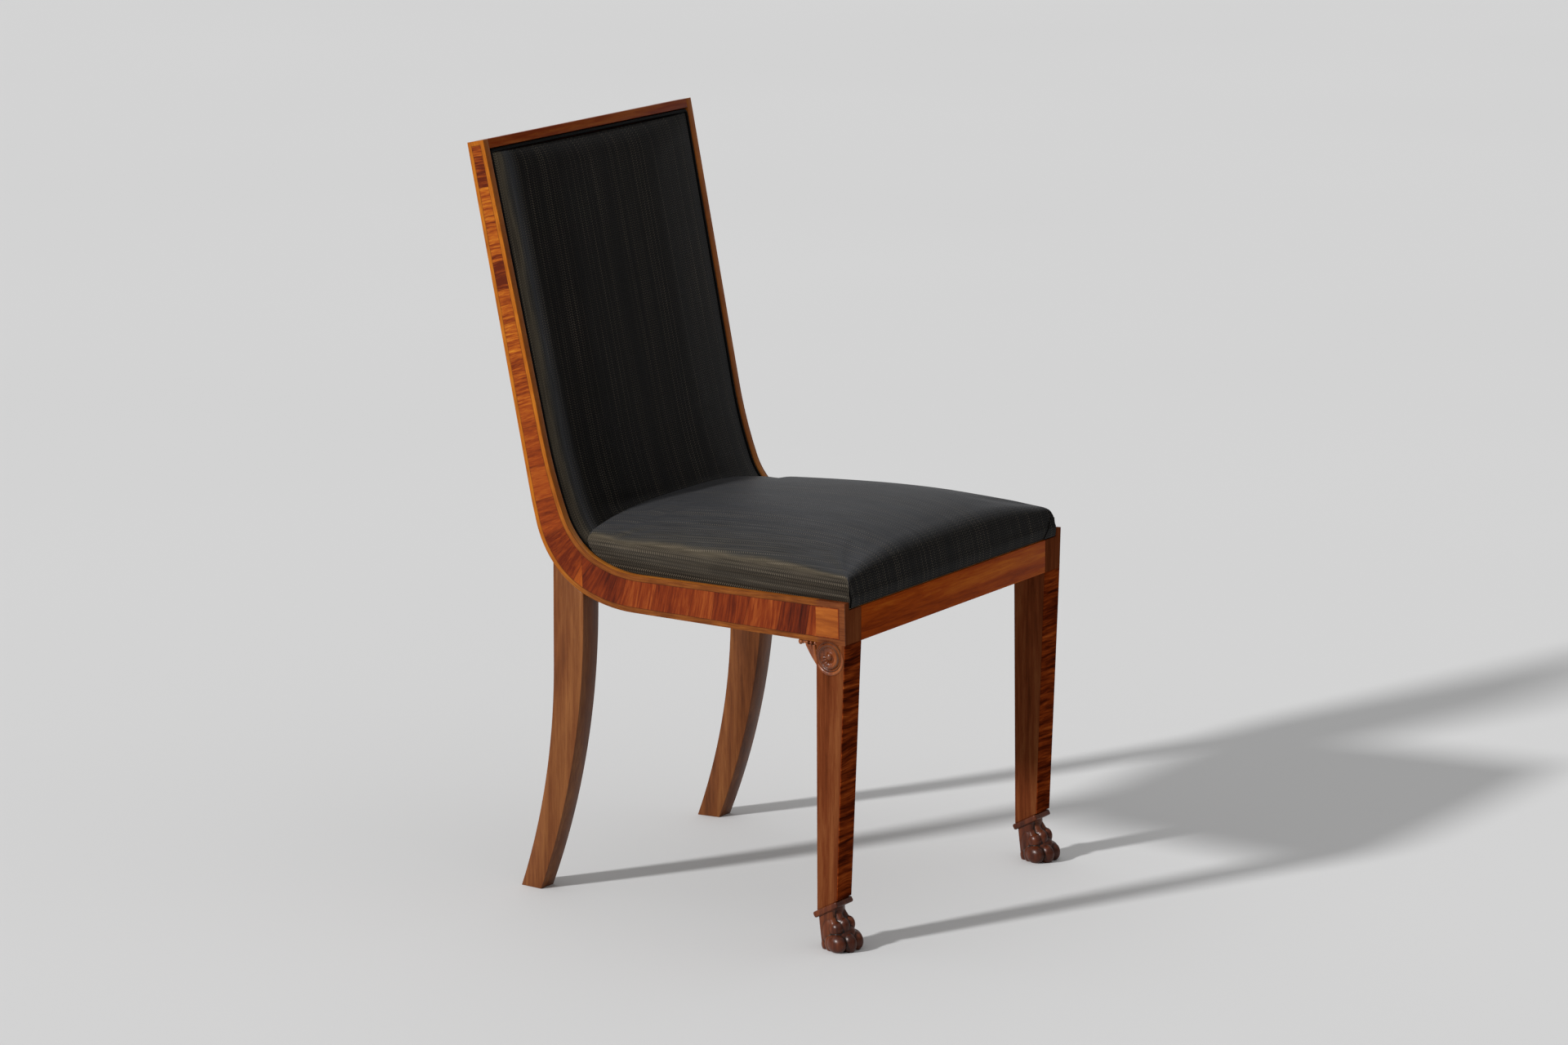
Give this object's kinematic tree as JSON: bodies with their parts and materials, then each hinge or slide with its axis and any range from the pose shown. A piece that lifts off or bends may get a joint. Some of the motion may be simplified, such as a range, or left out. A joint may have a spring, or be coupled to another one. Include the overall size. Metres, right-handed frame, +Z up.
{
  "type": "side chair",
  "caption": "Side chair with curved veneered side frames, sabre rear legs, carved paw front feet, a lift-out upholstered seat and a padded back.",
  "frame": {"origin": "on the floor under the middle of the chair's outline", "axes": "+Z up, the sitter faces -Y, +X is the chair's side on the viewer's right when it is seen from the front"},
  "size_m": [0.5088, 0.5521, 0.9],
  "materials": {
    "show_wood": "satin",
    "crossband_veneer": "satin",
    "stringing": "satin",
    "corner_panel": "satin",
    "carved_wood": "satin",
    "frame_wood": "matte",
    "steel": "satin",
    "webbing": "matte",
    "hessian": "matte",
    "stuffing": "matte",
    "cover_cloth": "satin",
    "dust_cloth": "matte"
  },
  "bodies": {
    "frame": {"ankle_collar_left": "carved_wood", "ankle_collar_right": "carved_wood", "back_cover": "cover_cloth", "back_hessian": "hessian", "back_rail_dowels": "frame_wood", "back_stuffing": "stuffing", "back_webbing": "webbing", "back_welt": "cover_cloth", "bracket_rosette_left": "carved_wood", "bracket_rosette_right": "carved_wood", "corner_block_front_left": "frame_wood", "corner_block_front_right": "frame_wood", "corner_block_rear_left": "frame_wood", "corner_block_rear_right": "frame_wood", "corner_block_screws": "steel", "corner_panel_left": "corner_panel", "corner_panel_right": "corner_panel", "crest_dowels": "frame_wood", "crest_rail": "show_wood", "crossband_left": "crossband_veneer", "crossband_right": "crossband_veneer", "edge_stringing_left": "stringing", "edge_stringing_right": "stringing", "front_leg_left": "show_wood", "front_leg_right": "show_wood", "front_leg_veneer_left": "crossband_veneer", "front_leg_veneer_right": "crossband_veneer", "front_rail": "show_wood", "front_rail_dowels": "frame_wood", "lower_back_rail": "frame_wood", "outside_back": "cover_cloth", "paw_foot_left": "carved_wood", "paw_foot_right": "carved_wood", "paw_pegs": "frame_wood", "rear_leg_dowels": "frame_wood", "rear_leg_left": "show_wood", "rear_leg_right": "show_wood", "rear_rail_dowels": "frame_wood", "rear_seat_rail": "frame_wood", "scroll_bracket_left": "carved_wood", "scroll_bracket_right": "carved_wood", "seat_pegs": "frame_wood", "side_frame_left": "show_wood", "side_frame_right": "show_wood", "side_rail_dowels": "frame_wood"},
    "seat": {"seat_cover": "cover_cloth", "seat_dust_cover": "dust_cloth", "seat_frame_dowels": "frame_wood", "seat_hessian": "hessian", "seat_rail_front": "frame_wood", "seat_rail_left": "frame_wood", "seat_rail_rear": "frame_wood", "seat_rail_right": "frame_wood", "seat_stuffing": "stuffing", "seat_tacks": "steel", "seat_webbing": "webbing"}
  },
  "joints": [
    {"name": "seat_lift", "type": "slide", "parent": "frame", "child": "seat", "axis": [0, 0, 1], "range_m": [0, 0.15]}
  ]
}
